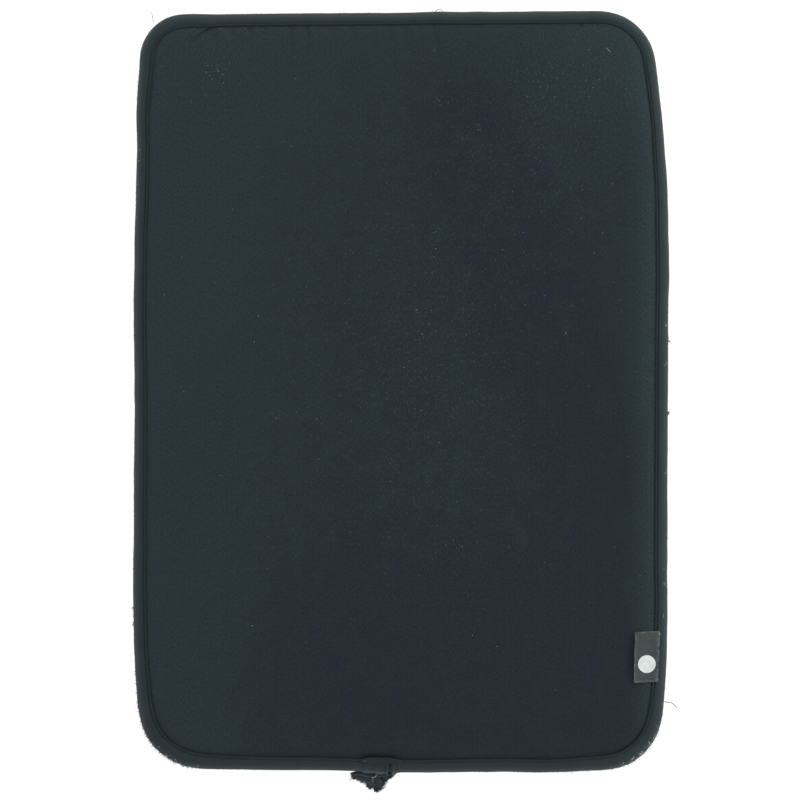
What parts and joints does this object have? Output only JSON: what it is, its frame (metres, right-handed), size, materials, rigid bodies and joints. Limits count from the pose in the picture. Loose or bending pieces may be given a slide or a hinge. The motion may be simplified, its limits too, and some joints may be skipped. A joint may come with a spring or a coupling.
{
  "type": "laptop sleeve",
  "caption": "Flat rectangular padded neoprene sleeve with rounded corners that zips round three sides and opens like a book to take a laptop.",
  "frame": {"origin": "centre of the flat back face, on the surface that the sleeve lies on", "axes": "+Y along the long side, towards the end with no zip pull; +Z out of the front panel; +X towards the closed long side with the label"},
  "size_m": [0.2723, 0.3984, 0.0308],
  "materials": {
    "knit_panel": "matte fine jersey knit bonded to neoprene foam, blue-green charcoal",
    "knit_band": "worn, slightly fuzzy jersey knit over neoprene",
    "piping": "matte woven piping",
    "plush_lining": "short-pile plush, dark grey",
    "binding_tape": "woven binding tape",
    "zip_tape": "herringbone zip tape, black",
    "zip_coil": "black nylon coil, satin",
    "zip_metal": "gunmetal plated, slightly worn",
    "garage_fabric": "smooth stretch knit, folded edges",
    "pull_textile": "worn coarse textile with frayed edges",
    "label_satin": "dark grey woven satin label with a plain pale disc"
  },
  "bodies": {
    "body": {"back_panel": "knit_panel", "back_lining": "plush_lining", "front_panel_fixed": "knit_panel", "front_lining_fixed": "plush_lining", "side_band_closed": "knit_band", "side_band_back": "knit_band", "side_band_end": "knit_band", "back_welt": "piping", "front_welt_fixed": "piping", "binding_back": "binding_tape", "binding_front_fixed": "binding_tape", "zip_tape_back": "zip_tape", "zip_tape_end": "zip_tape", "zip_coil_back": "zip_coil", "zip_coil_end": "zip_coil", "zip_stop_top": "zip_metal", "zip_stop_bottom": "zip_metal", "zip_garage": "garage_fabric", "label": "label_satin"},
    "flap": {"front_panel_flap": "knit_panel", "front_lining_flap": "plush_lining", "front_welt_flap": "piping", "side_band_flap": "knit_band", "binding_front_flap": "binding_tape", "zip_tape_flap": "zip_tape", "zip_coil_flap": "zip_coil"},
    "slider": {"slider_body": "zip_metal"},
    "pull": {"pull_ring": "zip_metal", "pull_fabric": "pull_textile"}
  },
  "joints": [
    {"name": "flap_fold", "type": "hinge", "parent": "body", "child": "flap", "pos_m": [-0.0045, -0.0005, 0.03], "axis": [0.1037, 0.9946, 0], "range_deg": [0, 150]},
    {"name": "slider_travel", "type": "slide", "parent": "body", "child": "slider", "axis": [-0.9999, 0.0161, 0], "range_m": [0, 0.078]},
    {"name": "pull_swing", "type": "hinge", "parent": "slider", "child": "pull", "pos_m": [-0.01413, -0.19467, 0.015], "axis": [0, 0, 1], "range_deg": [-60, 60]}
  ]
}
